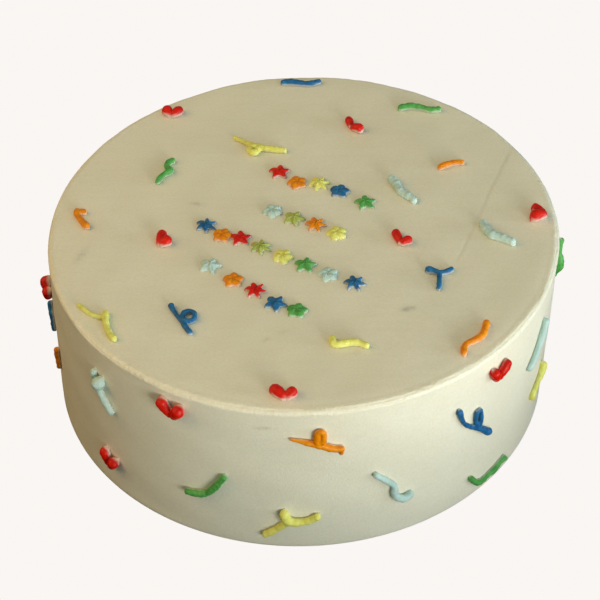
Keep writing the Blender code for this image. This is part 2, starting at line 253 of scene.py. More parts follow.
def newMaterial(name):
    material = bpy.data.materials.new(name)
    material.use_nodes = True
    return material, material.node_tree, material.node_tree.nodes["Principled BSDF"]


def addNode(tree, kind, values=None, **settings):
    node = tree.nodes.new(kind)
    for key, value in settings.items():
        setattr(node, key, value)
    for socket, value in (values or {}).items():
        node.inputs[socket].default_value = value
    return node


def noiseAt(tree, coordinates, scale, detail=3.0, roughness=0.5):
    node = addNode(tree, "ShaderNodeTexNoise", {"Scale": scale, "Detail": detail, "Roughness": roughness})
    tree.links.new(coordinates, node.inputs["Vector"])
    return node.outputs["Fac"]


def ranged(tree, value, low, high, toLow, toHigh):
    node = addNode(tree, "ShaderNodeMapRange", {
        "From Min": low, "From Max": high, "To Min": toLow, "To Max": toHigh,
    })
    tree.links.new(value, node.inputs["Value"])
    return node.outputs["Result"]


def give(tree, socket, given):
    # A socket takes a link from another socket, or a plain value
    if isinstance(given, bpy.types.NodeSocket):
        tree.links.new(given, socket)
    else:
        socket.default_value = given


def mixed(tree, factor, first, second):
    node = addNode(tree, "ShaderNodeMix", data_type="RGBA")
    for name, given in (("Factor", factor), ("A", first), ("B", second)):
        give(tree, node.inputs[name], given)
    return node.outputs["Result"]


def maths(tree, operation, first, second=0.0):
    node = addNode(tree, "ShaderNodeMath", operation=operation)
    give(tree, node.inputs[0], first)
    give(tree, node.inputs[1], second)
    return node.outputs["Value"]


def product(tree, first, *others):
    # All the values times each other
    for other in others:
        first = maths(tree, "MULTIPLY", first, other)
    return first


def bumped(tree, height, distance, strength, normal=None):
    node = addNode(tree, "ShaderNodeBump", {"Distance": distance, "Strength": strength})
    tree.links.new(height, node.inputs["Height"])
    if normal is not None:
        tree.links.new(normal, node.inputs["Normal"])
    return node.outputs["Normal"]


def attributeOf(tree, name):
    return addNode(tree, "ShaderNodeAttribute", attribute_name=name).outputs["Fac"]


def axesOf(tree, vector):
    # A vector taken apart into its three axes
    apart = addNode(tree, "ShaderNodeSeparateXYZ")
    tree.links.new(vector, apart.inputs["Vector"])
    return apart.outputs["X"], apart.outputs["Y"], apart.outputs["Z"]


def softInside(shader, weight, radius, scale):
    # Light that enters the surface and comes out a little way off
    shader.inputs["Subsurface Weight"].default_value = weight
    shader.inputs["Subsurface Radius"].default_value = radius
    shader.inputs["Subsurface Scale"].default_value = scale


# Frosting: cream, very smooth, with faint mottling, a scraper line whose crease is darkened with painted
# shade, and small smears. Sizes of noise are in waves to the metre
frostingLook = {
    "pale": (0.83, 0.80, 0.64, 1),
    "deep": (0.79, 0.755, 0.59, 1),
    "smear": (0.42, 0.38, 0.29, 1),
    # a darker tint for the flecks and knife streaks, also the painted shade in the scraper line's crease
    "line": (0.50, 0.46, 0.33, 1),
    "mottleNoise": 22,
    "roughness": (0.42, 0.58),
    "roughnessNoise": 90,
    "lineFrom": (88 * mm, 45 * mm),  # the scraper line's ends on the top
    "lineTo": (61.7 * mm, -20 * mm),
    "lineWidth": 1.3 * mm,
    "lineWaver": 1.2 * mm,  # how far it strays from straight
    "lineFade": 6 * mm,  # how far it takes to fade past its end
    "lineShare": (0.3, 0.12),  # how strongly its painted shade shows at its two ends
    "lineCut": 0.2 * mm,
    "streak": 0.06,  # how strongly the knife's streaks show
    "streakNoise": 420,
    "streakTurn": -0.3,  # radians
    "streakDraw": 0.12,  # the width of a streak as a share of its length
    "fleck": 0.16,  # how strongly the fine flecks show
    "fleckNoise": 1100,
    "gritNoise": 700,  # grit in the smears and at the rim
    "grain": 0.18 * mm,  # the depth of the fine grain
    "grainNoise": 1300,
    "topGrain": 0.4,  # how much of the side's grain the top has
    "swell": 0.12 * mm,  # the depth of the soft unevenness
    "swellNoise": 160,
    "crumbs": 0.7 * mm,  # the depth of the roughness at the rim
    "soft": (0.12, (1.0, 0.85, 0.5), 2.5 * mm),  # light inside: weight, radius, scale
}


def topOrSide(tree, place, side, top):
    # One value for the side and one for the top, changing just under the top
    height = axesOf(tree, place)[2]
    return ranged(tree, height, cake["height"] - 2 * mm, cake["height"] - 1 * mm, side, top)


def knifeStreaks(tree, place):
    # Noise drawn out one way and left narrow the other
    look = frostingLook
    drawn = addNode(tree, "ShaderNodeMapping", {
        "Rotation": (0, 0, look["streakTurn"]), "Scale": (look["streakDraw"], 1, 1),
    })
    tree.links.new(place, drawn.inputs["Vector"])
    noise = noiseAt(tree, drawn.outputs["Vector"], look["streakNoise"], 2)
    return ranged(tree, noise, 0.45, 0.75, 0, look["streak"])


def scraperLine(tree, place):
    # 1 on the straight line between its two ends, less with the distance from it, past either end and below
    # the top. Also gives how strongly its painted shade shows at each place along it
    look = frostingLook
    (x1, y1), (x2, y2) = look["lineFrom"], look["lineTo"]
    length = math.hypot(x2 - x1, y2 - y1)
    heading = math.atan2(y2 - y1, x2 - x1)
    laid = addNode(tree, "ShaderNodeMapping", {
        "Location": (
            -(x1 * math.cos(heading) + y1 * math.sin(heading)),
            x1 * math.sin(heading) - y1 * math.cos(heading),
            0,
        ),
        "Rotation": (0, 0, -heading),
    })
    tree.links.new(place, laid.inputs["Vector"])
    along, across, _ = axesOf(tree, laid.outputs["Vector"])
    waver = ranged(tree, noiseAt(tree, place, 45, 2), 0, 1, -look["lineWaver"], look["lineWaver"])
    aside = maths(tree, "ABSOLUTE", maths(tree, "ADD", across, waver))
    near = ranged(tree, aside, 0, look["lineWidth"], 1, 0)
    begun = ranged(tree, along, -2 * mm, look["lineFade"], 0, 1)
    ended = ranged(tree, along, length, length + look["lineFade"], 1, 0)
    line = product(tree, near, begun, ended, topOrSide(tree, place, 0, 1))
    return line, ranged(tree, along, 0, length, *look["lineShare"])


def frostingColour(tree, place, line, creaseShadeShare):
    # Mottled cream with flecks and streaks over it, then the smears, and last the painted shade along the
    # scraper line's crease
    look = frostingLook
    mottle = ranged(tree, noiseAt(tree, place, look["mottleNoise"], 4), 0.35, 0.65, 0, 1)
    colour = mixed(tree, mottle, look["pale"], look["deep"])
    colour = mixed(tree, knifeStreaks(tree, place), colour, look["line"])
    fleck = ranged(tree, noiseAt(tree, place, look["fleckNoise"], 2), 0.3, 0.7, 0, look["fleck"])
    colour = mixed(tree, fleck, colour, look["line"])
    grit = ranged(tree, noiseAt(tree, place, look["gritNoise"], 2), 0.35, 0.65, 0.4, 1)
    colour = mixed(tree, product(tree, attributeOf(tree, "smear"), grit), colour, look["smear"])
    # painted shade: the scraper line's crease darkened towards the line tint
    return mixed(tree, product(tree, line, creaseShadeShare), colour, look["line"])


def frostingRelief(tree, place, line):
    # Fine grain, a soft unevenness, crumbs at the rim and the cut of the scraper line
    look = frostingLook
    grain = noiseAt(tree, place, look["grainNoise"], 3, 0.6)
    grain = product(tree, grain, topOrSide(tree, place, 1, look["topGrain"]))
    relief = bumped(tree, grain, look["grain"], 0.6)
    relief = bumped(tree, noiseAt(tree, place, look["swellNoise"], 2), look["swell"], 0.5, relief)
    crumbs = product(tree, noiseAt(tree, place, look["gritNoise"], 3, 0.6), attributeOf(tree, "rim"))
    relief = bumped(tree, crumbs, look["crumbs"], 0.7, relief)
    return bumped(tree, product(tree, line, -1.0), look["lineCut"], 0.35, relief)


def frostingMaterial():
    look = frostingLook
    material, tree, shader = newMaterial("frosting")
    place = addNode(tree, "ShaderNodeTexCoord").outputs["Object"]
    line, creaseShadeShare = scraperLine(tree, place)
    tree.links.new(frostingColour(tree, place, line, creaseShadeShare), shader.inputs["Base Color"])
    sheen = noiseAt(tree, place, look["roughnessNoise"], 3)
    tree.links.new(ranged(tree, sheen, 0.3, 0.7, *look["roughness"]), shader.inputs["Roughness"])
    tree.links.new(frostingRelief(tree, place, line), shader.inputs["Normal"])
    softInside(shader, *look["soft"])
    return material


# Piped icing: each colour's fuller and lighter tint, and how strongly the painted highlight pales its foot
icingLooks = {
    "red": ((0.52, 0.006, 0.002, 1), (0.64, 0.014, 0.004, 1), 0.7),
    "orange": ((0.66, 0.19, 0.002, 1), (0.75, 0.26, 0.004, 1), 0.5),
    "yellow": ((0.66, 0.64, 0.12, 1), (0.75, 0.75, 0.21, 1), 0.25),
    "green": ((0.065, 0.29, 0.06, 1), (0.11, 0.39, 0.095, 1), 0.6),
    "olive": ((0.32, 0.38, 0.07, 1), (0.42, 0.48, 0.13, 1), 0.4),
    "blue": ((0.012, 0.095, 0.24, 1), (0.024, 0.155, 0.34, 1), 0.6),
    "mint": ((0.41, 0.57, 0.51, 1), (0.50, 0.66, 0.62, 1), 0.35),
}
icingFinish = {
    "pale": (0.70, 0.68, 0.60, 1),  # the painted highlight's pale tint at the foot of a line
    "mottleNoise": 330,
    "roughness": (0.30, 0.46),
    "roughnessNoise": 500,
    "specular": 0.18,
    "grain": 0.04 * mm,
    "grainNoise": 1500,
    "soft": (0.06, (1.0, 0.6, 0.4), 0.6 * mm),
}


def icingMaterial(name):
    look = icingFinish
    full, light, highlightShare = icingLooks[name]
    material, tree, shader = newMaterial(name + "_icing")
    place = addNode(tree, "ShaderNodeTexCoord").outputs["Object"]
    mottle = ranged(tree, noiseAt(tree, place, look["mottleNoise"], 3), 0.35, 0.65, 0, 1)
    colour = mixed(tree, mottle, full, light)
    # painted highlight: the foot's flanks that face the window lights are mixed towards the pale tint
    colour = mixed(tree, product(tree, attributeOf(tree, "pale"), highlightShare), colour, look["pale"])
    tree.links.new(colour, shader.inputs["Base Color"])
    sheen = noiseAt(tree, place, look["roughnessNoise"], 2)
    tree.links.new(ranged(tree, sheen, 0.3, 0.7, *look["roughness"]), shader.inputs["Roughness"])
    shader.inputs["Specular IOR Level"].default_value = look["specular"]
    softInside(shader, *look["soft"])
    relief = bumped(tree, noiseAt(tree, place, look["grainNoise"], 3), look["grain"], 0.6)
    tree.links.new(relief, shader.inputs["Normal"])
    return material


icings = {name: icingMaterial(name) for name in icingLooks}
frosting = frostingMaterial()
print("materials made")


def cakeProfile():
    # Reach and height from the middle of the underside, round the foot, up the side, over the top
    # edge and in to the middle of the top, with how far each place faces outwards and upwards. The
    # underside and the foot have 0 for both, so the relief leaves them alone
    radius, height = cake["radius"], cake["height"]
    foot, edge, counts = cake["footEdge"], cake["topEdge"], cake["rings"]
    rows = []
    for reach in np.linspace(cake["underHole"], radius - foot, counts["under"])[:-1]:
        rows.append((reach, 0, 0, 0))
    for turn in np.linspace(0, math.pi / 2, counts["foot"]):
        rows.append((radius - foot + foot * math.sin(turn), foot - foot * math.cos(turn), 0, 0))
    for z in np.linspace(foot, height - edge, counts["side"])[1:-1]:
        rows.append((radius, z, 1, 0))
    for turn in np.linspace(0, math.pi / 2, counts["edge"]):
        out, up = math.cos(turn), math.sin(turn)
        rows.append((radius - edge + edge * out, height - edge + edge * up, out, up))
    for reach in np.linspace(radius - edge, cake["topHole"], counts["top"])[1:]:
        rows.append((reach, height, 0, 1))
    return np.array(rows)


def rimShare(points):
    # 1 at the top edge of the upright cake, fading to 0 at the reach of its roughness
    inward = cake["radius"] - np.hypot(points[..., 0], points[..., 1])
    below = cake["height"] - points[..., 2]
    return 1 - smoothStep(0.1, 1, np.hypot(inward, below) / cake["rimReach"])


def cakeSkin():
    # A profile turned round the upright axis, each point moved along its own facing by the relief,
    # the rub at the rim and the rim's lumps
    reach, z, out, up = (column[:, None] for column in cakeProfile().T)
    turn = np.arange(cake["around"])[None, :] * 2 * math.pi / cake["around"]
    rub = sum(depth * (1 + np.sin(waves * turn + waves)) / 2 for depth, waves in cake["rimWaves"]) * mm
    atRim = 4 * out * up * (1 - 2 * np.abs(out * up - 0.25))
    sides = (sideRelief(turn, z) * smoothStep(*cake["wavesFrom"], z) - rub * atRim) * out
    tops = (topRelief(reach * np.sin(turn), -reach * np.cos(turn)) - rub * atRim) * up
    wide = reach + sides
    rings = np.stack([wide * np.sin(turn), -wide * np.cos(turn), z + tops], axis=-1)
    middle = np.array([0, 0, cake["height"] + topRelief(np.zeros(1), np.zeros(1))[0]])
    near = rimShare(rings)
    for k, (depth, size) in enumerate(cake["rimCrumbs"]):
        rough = ripple(rings.reshape(-1, 3), size * mm, 40 + k).reshape(near.shape)
        lump = near * depth * mm * np.minimum(rough, cake["rimStandOut"])
        rings = rings + lump[..., None] * np.stack([
            np.sin(turn) * out, -np.cos(turn) * out, np.broadcast_to(up, near.shape),
        ], axis=-1)
    return ringSkin(settled(rings), np.zeros(3), settled(middle))


def smearValues(points):
    # Each smear fades with the square of the distance from its middle, longer one way than the other
    total = np.zeros(len(points))
    flat = unsettled(points)
    turn = np.arctan2(flat[:, 0], -flat[:, 1])
    for surface, across, along, length, width, heading, strength in smears:
        if surface == "top":
            x, y = flat[:, 0] / mm - across, flat[:, 1] / mm - along
            here = flat[:, 2] > cake["height"] - 1 * mm
        else:
            x, y = turn * cake["radius"] / mm - across, flat[:, 2] / mm - along
            here = np.hypot(flat[:, 0], flat[:, 1]) > cake["radius"] - 2 * mm
        a = math.radians(heading)
        run, aside = x * math.cos(a) + y * math.sin(a), y * math.cos(a) - x * math.sin(a)
        total += strength * np.exp(-(run / length) ** 2 - (aside / width) ** 2) * here
    return np.clip(total, 0, 1)


points, faces = cakeSkin()
cakeMesh = meshOf("cake", points, faces)
setValues(cakeMesh, "smear", smearValues(pointsOf(cakeMesh)))
setValues(cakeMesh, "rim", rimShare(unsettled(pointsOf(cakeMesh))))
placed("smooth_frosting", cakeMesh, frosting, "frosting", "frosted_cake")
print("cake made:", len(faces), "faces")

# Piping: how a line of icing is shaped, and how it is fused where strokes cross
piping = {
    "sides": 20,
    "pitch": 0.35 * mm,  # between the sections of a line
    "step": 0.1,  # between the places worked out along a line (mm)
    "heightRatio": 0.88,  # height of a line for its width
    "widest": 0.42,  # the share of its height at which a line is widest
    "endHeight": 0.35,  # the share of its height that is left at the very end of a line
    "endReach": 0.25,  # how far the last point of an end stands out, in half widths
    "wavers": [(0.035, 9), (0.025, 4.3), (0.02, 2.2)],  # shares of the width, and lengths (mm)
    "lift": 0.15 * mm,  # raises a line so that its round foot is only just in the frosting
    "crossingLift": 0.15 * mm,  # and a line piped over another by this much more
    "voxel": 0.2 * mm,
    "softening": 2,
    "unevenness": 0.05 * mm,
    "lineShares": [1.08, 0.88],  # width along a line: a little fat at first, then thinner
    "heartShares": [0.66, 0.96, 1.04],  # width of a heart's drop from its tip to its far end
}

# Each squiggle: colour, surface, width of the line (mm) and its strokes. A stroke is where it
# starts (mm), the way it first runs (degrees) and its legs, each a length in mm and a turn, and
# where the line thins or swells, shares of its width at even steps. On the top a place is x, y.
# On the side it is the distance round from the front, and the height.
squiggles = {
    "blue_wave_top_back": ("blue", "top", 2.8, [
        (-8.2, 92.7, 20, [(5.5, -32), (5, 0), (4, 32), (3.5, 5)]),
    ]),
    "green_wave_top_back": ("green", "top", 2.8, [
        (41.3, 72.2, 38, [(6, -42), (6, -26), (4, 36), (3, 14)]),
    ]),
    "green_curl_top_left": ("green", "top", 2.6, [
        (-51.6, 41.4, 180, [(2.6, 36), (2.6, 60), (2.8, 44), (1.8, 5)]),
        (-52.3, 34.9, 202, [(3, 16), (3, 14), (4.2, 38)]),
    ]),
    "yellow_loop_top_back": ("yellow", "top", 2.6, [
        (-28.2, 56.8, -38, [(9.4, -2), (4.4, 22), (8.4, 10), (3, -18)], [0.6, 0.75, 1.1, 1.0, 0.95]),
        (-20.7, 48.5, 220, [(6.3, 200)], [1.1]),
        (-18.1, 45.9, 50, [(5.7, 180)], [1.1]),
    ]),
    "orange_wave_top_right": ("orange", "top", 2.6, [
        (55.1, 32.4, 24, [(3.5, 10), (2.5, -18), (3.6, -12), (2.2, -45)]),
    ]),
    "mint_line_top_right": ("mint", "top", 3.4, [
        (35.0, 27.4, -56, [(3, -6), (6, -16), (1.4, 30), (5, 4), (3.8, -32)]),
    ]),
    "orange_hook_top_left": ("orange", "top", 2.7, [
        (-85.6, 10.7, 190, [(2.2, -14), (3.2, -14)], [1.05, 0.95]),
        (-90.0, 10.6, -68, [(5.2, 8), (6.2, 8)], [1.0, 0.85, 0.95, 1.15]),
    ]),
    "mint_hook_top_right": ("mint", "top", 3.3, [
        (70.0, -1.0, -88, [(3.4, 10), (5.2, 20), (1.6, 36), (5.5, -10), (4, -12)],
         [0.95, 1.0, 1.1, 0.95, 1.0]),
    ]),
    "blue_fork_top_right": ("blue", "top", 2.3, [
        (46.0, -28.9, 30, [(2.2, -50), (2.4, -14), (2.0, 44), (5.4, 40)], [1.35, 1.15, 0.95, 0.95, 0.9]),
        (51.2, -30.4, -92, [(9.2, -8)], [0.85, 0.85, 0.95]),
    ]),
    "yellow_peak_top_left": ("yellow", "top", 2.5, [
        (-85.3, -42.2, -50, [(4.5, 2), (4.5, 16), (4.5, 14)], [0.72, 0.72, 0.8]),
        (-74.3, -46.8, -92, [(4, 6), (5, 12), (4, 8), (3.8, 30)], [1.08, 1.0, 0.95, 1.0]),
    ]),
    "blue_loop_top_left": ("blue", "top", 2.3, [
        (-50.4, -43.6, -74, [(3.5, 8), (5, 8), (4.8, -8), (5.2, 12)], [1.1, 0.78, 0.78, 0.95, 1.0]),
        (-45.6, -51.4, 90, [(1.2, 0), (7.1, -180), (0.8, 0)], [0.88]),
        (-41.1, -50.2, -90, [(1.2, 0), (7.1, -180), (0.8, 0)], [0.88]),
    ]),
    "yellow_wave_top_front": ("yellow", "top", 2.8, [
        (9.8, -63.5, -100, [(2.8, 20), (2.6, 86), (3, 12), (3, -26), (3.8, -24), (2, 30)]),
    ]),
    "orange_wave_top_front": ("orange", "top", 2.7, [
        (66.8, -57.4, 258, [(6.4, -8), (4.2, -42), (4.3, 8), (3.6, 52), (2.8, 8)]),
    ]),
    "blue_wave_side_left": ("blue", "side", 2.1, [
        (-142.8, 51.6, -75, [(4.5, 34), (4.5, -44), (4.5, 12)]),
    ]),
    "orange_line_side_left": ("orange", "side", 2.4, [(-132.6, 35.2, -92, [(6, 8), (5.4, -6)])]),
    "mint_loop_side_left": ("mint", "side", 2.8, [
        (-90.0, 61.6, -72, [(8.5, 8), (4, 18), (7.5, 2)], [0.95, 0.88, 0.95, 1.0]),
        (-86.6, 54.0, 70, [(7, 10)], [0.9, 1.55, 1.85, 1.6]),
    ]),
    "green_curve_side_front": ("green", "side", 2.8, [
        (-46.2, 23.2, 30, [(3, -26), (3.2, 12), (5.6, 38), (8, 10), (4, -6)], [1.05, 1.0, 1.0, 0.9]),
    ]),
    "yellow_hook_side_front": ("yellow", "side", 3.0, [
        (-15.9, 7.5, 38, [(6, 4), (7.6, 8)], [0.95, 0.9]),
        (-8.0, 22.6, -88, [(3.4, 14), (3.4, 56), (3.4, 22), (5.6, 32), (2.4, 24)],
         [1.25, 1.3, 1.05, 0.95, 0.95]),
    ]),
    "orange_loop_side_front": ("orange", "side", 2.6, [
        (-6.4, 61.6, -10, [(8, -8), (7.6, -8), (3.6, 24), (1, -88), (3.2, -4)],
         [0.4, 0.78, 1.0, 1.15, 1.0, 0.6]),
        (3.5, 61.0, 92, [(3.4, -2), (3.8, -180), (3.4, -2)], [0.88]),
        (5.9, 64.4, -92, [(3.4, -2), (3.8, -180), (3.4, -2)], [0.88]),
        (4.7, 59.2, 90, [(3.2, 0)], [0.75]),
    ]),
    "mint_hook_side_front": ("mint", "side", 3.0, [
        (25.0, 38.5, -50, [(8, 4), (3.8, -8), (2.6, -46), (3.6, 34), (3.4, 36), (3, 54), (2.4, 50)],
         [0.85, 0.78, 0.85, 1.0, 1.05, 1.0]),
    ]),
    "green_wave_side_right": ("green", "side", 2.7, [
        (68.2, 13.0, -60, [(5.4, 6), (4.2, 40), (3.4, 26), (3.2, -14), (3.8, 20), (2.8, -20), (2.6, 40)],
         [1.0, 0.9, 0.9, 0.78, 0.95, 0.8, 1.1]),
    ]),
    "blue_loop_side_right": ("blue", "side", 2.3, [
        (58.6, 57.0, -78, [(7.6, 10), (4.6, 20), (8.4, 10), (4.9, -14), (4.6, 20)],
         [1.1, 0.85, 0.8, 0.85, 1.2, 1.5]),
        (69.0, 40.8, 112, [(4, -10), (4.4, -16), (1.7, -83)], [0.78]),
        (68.5, 50.2, 5, [(1.7, -83), (4.4, -10), (4.2, -26)], [0.78]),
    ]),
    "mint_line_side_right": ("mint", "side", 2.8, [
        (114.0, 62.0, -106, [(5, -22), (7, 0), (5, -14), (4.4, 10)]),
    ]),
    "yellow_step_side_right": ("yellow", "side", 2.8, [
        (121.6, 31.6, -90, [(3, -30), (3, -50), (7.5, 8), (2.6, 62), (1.6, 10)], [1.2, 1.0, 0.8, 0.8, 0.95]),
    ]),
    "green_loop_side_right": ("green", "side", 2.8, [
        (149.5, 72.0, -130, [(4, 30), (6, 0), (6, 26), (4, 10)], [0.9, 0.7, 0.72, 1.3, 1.35, 0.5, 0.4]),
    ]),
    "orange_wave_back_right": ("orange", "side", 2.7, [
        (165, 24, 40, [(5, -30), (5, -30), (5, 45), (3, 5)]),
    ]),
    "yellow_loop_back_right": ("yellow", "side", 2.7, [
        (181, 52, -30, [(7, -6), (8, 4)], [0.6, 1.0, 1.1]),
        (188.0, 48.0, 110, [(3, -14), (2.6, -12), (2.6, -90)], [0.95]),
        (188.8, 55.1, -2, [(2.6, -92), (2.6, -10), (3.6, -14)], [0.95]),
    ]),
    "mint_wave_back_right": ("mint", "side", 3.0, [(203, 36, 70, [(6, -20), (5, 40), (6, -30)])]),
    "blue_hook_back_right": ("blue", "side", 2.5, [
        (222, 14, 150, [(2.6, -20), (3.4, -95), (5, -10), (6, 15)]),
    ]),
    "green_curve_back_right": ("green", "side", 2.8, [
        (244, 44, 30, [(5, -34), (4, 6), (5, 44), (5, 12)]),
    ]),
    "yellow_wave_back_middle": ("yellow", "side", 2.8, [
        (272, 30, -100, [(4, 76), (4, 24), (4, -30), (4, -16)]),
    ]),
    "mint_loop_back_middle": ("mint", "side", 2.8, [
        (292, 58, -56, [(7, 8), (8, 8)]),
        (297.6, 51.6, 100, [(5.6, -190)], [1.05]),
        (301.0, 52.2, -80, [(5.6, -190)], [1.05]),
    ]),
    "blue_wave_back_middle": ("blue", "side", 2.6, [(-312, 24, 15, [(5, 30), (5, -55), (5, 20)])]),
    "orange_hook_back_left": ("orange", "side", 2.8, [
        (-284, 48, 160, [(2.4, 20), (3.2, 105), (4, 12), (6, 0)]),
    ]),
    "green_wave_back_left": ("green", "side", 2.8, [
        (-262, 12, 20, [(5, -20), (4, 40), (5, -20), (4, 12)]),
    ]),
    "mint_curve_back_left": ("mint", "side", 2.8, [(-233, 46, -130, [(5, -22), (6, 8), (5, -10)])]),
    "blue_loop_back_left": ("blue", "side", 2.5, [
        (-214, 24, -70, [(5, 24), (4, 6), (6, -2)]),
        (-207.6, 17.0, -20, [(13.6, 290)]),
    ]),
    "yellow_curve_back_left": ("yellow", "side", 2.8, [(-196, 60, -20, [(5, 30), (5, -40), (5, 10)])]),
    "green_hook_back_left": ("green", "side", 2.7, [(-166, 32, -80, [(5, 10), (3.8, 50), (5, 4)])]),
}

# Each red heart: surface, and for each drop its start (mm), heading (degrees), length and width (mm)
hearts = {
    "heart_top_back_left": ("top", (-54.6, 72.0, 123, 5.4, 4.6), (-54.6, 71.6, 40, 6.2, 4.2)),
    "heart_top_back": ("top", (21.3, 60.6, 104, 6.4, 3.5), (20.8, 60.8, -28, 5.8, 4.2)),
    "heart_top_left": ("top", (-56.0, -10.5, 81, 7.6, 4.2), (-56.0, -10.5, 30, 5.4, 4.6)),
    "heart_top_middle": ("top", (37.7, -13.5, 106, 8.1, 3.5), (37.2, -13.4, 28, 5.4, 3.7)),
    "heart_top_right": ("top", (95.3, 2.4, 141, 6.5, 3.7), (95.6, 2.2, 205, 7.4, 5.1)),
    "heart_top_front": ("top", (-7.4, -94.2, 136, 7.8, 4.5), (-7.6, -94.4, 50, 5.4, 4.3)),
    "heart_side_left_edge": ("side", (-142.6, 56.2, 125, 6.8, 4.6), (-141.5, 54.2, 80, 6.3, 4.1)),
    "heart_side_front_left": ("side", (-49.8, 62.3, 124, 9.3, 4.5), (-49.8, 62.3, 60, 8.2, 4.9)),
    "heart_side_left_low": ("side", (-83.4, 12.4, 112, 9.4, 4.2), (-83.4, 12.4, 60, 7.6, 4.4)),
    "heart_side_right": ("side", (76.5, 61.1, 112, 7.0, 4.1), (76.5, 61.1, 47, 8.6, 3.8)),
    "heart_back_right": ("side", (160, 48, 118, 8.6, 4.6), (160, 48, 62, 8.2, 4.6)),
    "heart_back_right_low": ("side", (206, 58, 110, 8.4, 4.6), (206, 58, 52, 8.6, 4.8)),
    "heart_back_middle": ("side", (262, 60, 122, 8.8, 4.8), (262, 60, 64, 8.0, 4.4)),
    "heart_back_middle_low": ("side", (-300, 44, 108, 8.4, 4.4), (-300, 44, 46, 8.8, 4.6)),
    "heart_back_left": ("side", (-240, 60, 128, 9.0, 4.6), (-240, 60, 66, 8.0, 4.4)),
    "heart_back_left_low": ("side", (-184, 20, 114, 8.6, 4.6), (-184, 20, 56, 8.4, 4.6)),
}


def strokePath(stroke):
    # Places, headings and shares of the width every 0.1 mm, from the start and the legs, each leg
    # turning evenly
    across, along, heading, legs = stroke[:4]
    shares = stroke[4] if len(stroke) > 4 else piping["lineShares"]
    step = piping["step"]
    headings = [np.array([float(heading)])]
    for length, turn in legs:
        count = round(length / step)
        headings.append(headings[-1][-1] + turn * (np.arange(count) + 1) / count)
    angles = np.radians(np.concatenate(headings))
    xs = across + np.concatenate([[0], np.cumsum(np.cos(angles[1:]))]) * step
    ys = along + np.concatenate([[0], np.cumsum(np.sin(angles[1:]))]) * step
    swell = np.interp(np.linspace(0, 1, len(xs)), np.linspace(0, 1, len(shares)), shares)
    return xs * mm, ys * mm, angles, swell, step * (len(xs) - 1) * mm


def beadSkin(surface, xs, ys, angles, halves, heights, lift):
    # An oval carried along a path: sideways by half times the cosine, up by height times a share
    # that runs from a little under the frosting to the full height
    around = np.arange(piping["sides"])[None, :] * 2 * math.pi / piping["sides"]
    widest = piping["widest"]
    aside = halves[:, None] * np.cos(around)
    up = heights[:, None] * (widest + (1 - widest) * np.sin(around)) + lift
    across = xs[:, None] - aside * np.sin(angles)[:, None]
    along = ys[:, None] + aside * np.cos(angles)[:, None]
    rings = onCake(surface, across, along, up)
    reach = halves[[0, -1]] * piping["endReach"]
    ways = np.array([-1, 1])
    poleX = xs[[0, -1]] + ways * reach * np.cos(angles[[0, -1]])
    poleY = ys[[0, -1]] + ways * reach * np.sin(angles[[0, -1]])
    poles = onCake(surface, poleX, poleY, heights[[0, -1]] * widest + lift)
    return ringSkin(rings, poles[0], poles[1])


def strokeSkin(surface, width, stroke, order, rng, waver=1.0):
    # A line of icing: half width = width / 2 times its share, a slow waver and the rounding of its ends
    xs, ys, angles, swell, length = strokePath(stroke)
    places = np.linspace(0, length, len(xs))
    first, last = width / 2 * swell[0], width / 2 * swell[-1]
    cap = 1 - np.cos(np.linspace(0.25, math.pi / 2, 6)[:-1])
    inner = np.linspace(first, length - last, max(4, round((length - first - last) / piping["pitch"])))
    stations = np.concatenate([first * cap, inner, length - last * cap[::-1]])
    xs, ys, angles, swell = (np.interp(stations, places, row) for row in (xs, ys, angles, swell))
    for share, size in piping["wavers"]:
        turns = 2 * math.pi * stations / (size * mm) + rng.uniform(0, 2 * math.pi)
        swell = swell + waver * share * np.sin(turns)
    inset = np.clip(np.minimum(stations / first, (length - stations) / last), 0, 1)
    rounding = np.sqrt(1 - (1 - inset) ** 2)
    halves = width / 2 * swell * rounding
    low = piping["endHeight"]
    heights = width * piping["heightRatio"] * swell * (low + (1 - low) * rounding)
    lift = piping["lift"] + order * piping["crossingLift"]
    return beadSkin(surface, xs, ys, angles, halves, heights, lift)


# The painted highlight at the foot of a line, on the flanks that face the window lights: how far down it
# begins and is full, and how far a place has to face
highlightLook = {
    "down": {"top": (0.38, 0.74), "side": (0.5, 0.85)},
    "facing": (0.05, 0.65),
    "topWay": (0.34, -0.94, 0),  # the way it faces on the top
    "sideRight": 0.5,  # on the side it faces up and to the right, by these shares
    "sideUp": 0.86,
    "unevenness": 0.08,
}


def paintedFootHighlight(surface, points, normals, seed):
    # How strongly each place takes the painted highlight: the product of a share for how near the foot it is
    # and one for how far it faces the lights, towards the front on the top of the cake and up and to the
    # right on its side
    above = aboveFrosting(surface, points)
    low = 1 - np.clip(above / above.max(), 0, 1)
    if surface == "top":
        facing = normals @ np.array(highlightLook["topWay"])
    else:
        turn = np.arctan2(points[:, 0], -points[:, 1])
        right = normals[:, 0] * np.cos(turn) + normals[:, 1] * np.sin(turn)
        facing = highlightLook["sideRight"] * right + highlightLook["sideUp"] * normals[:, 2]
    down = low + highlightLook["unevenness"] * ripple(points, 3 * mm, seed)
    return smoothStep(*highlightLook["down"][surface], down) * smoothStep(*highlightLook["facing"], facing)


def finishedIcing(name, skins, surface, colour, seed):
    # Strokes fused to one skin, made slightly uneven, with the painted highlight at the foot worked out for
    # each point
    points, faces = merged(skins)
    mesh = fusedMesh(name, points, faces, piping["voxel"], piping["softening"])
    points, normals = pointsOf(mesh), normalsOf(mesh)
    wave = ripple(points, 2.6 * mm, seed) + 0.6 * ripple(points, 1.1 * mm, seed + 500)
    points = points + normals * (piping["unevenness"] * wave)[:, None]
    setPoints(mesh, points)
    setValues(mesh, "pale", paintedFootHighlight(surface, points, normals, seed + 900))
    placed(name + "_icing", mesh, icings[colour], colour, name)


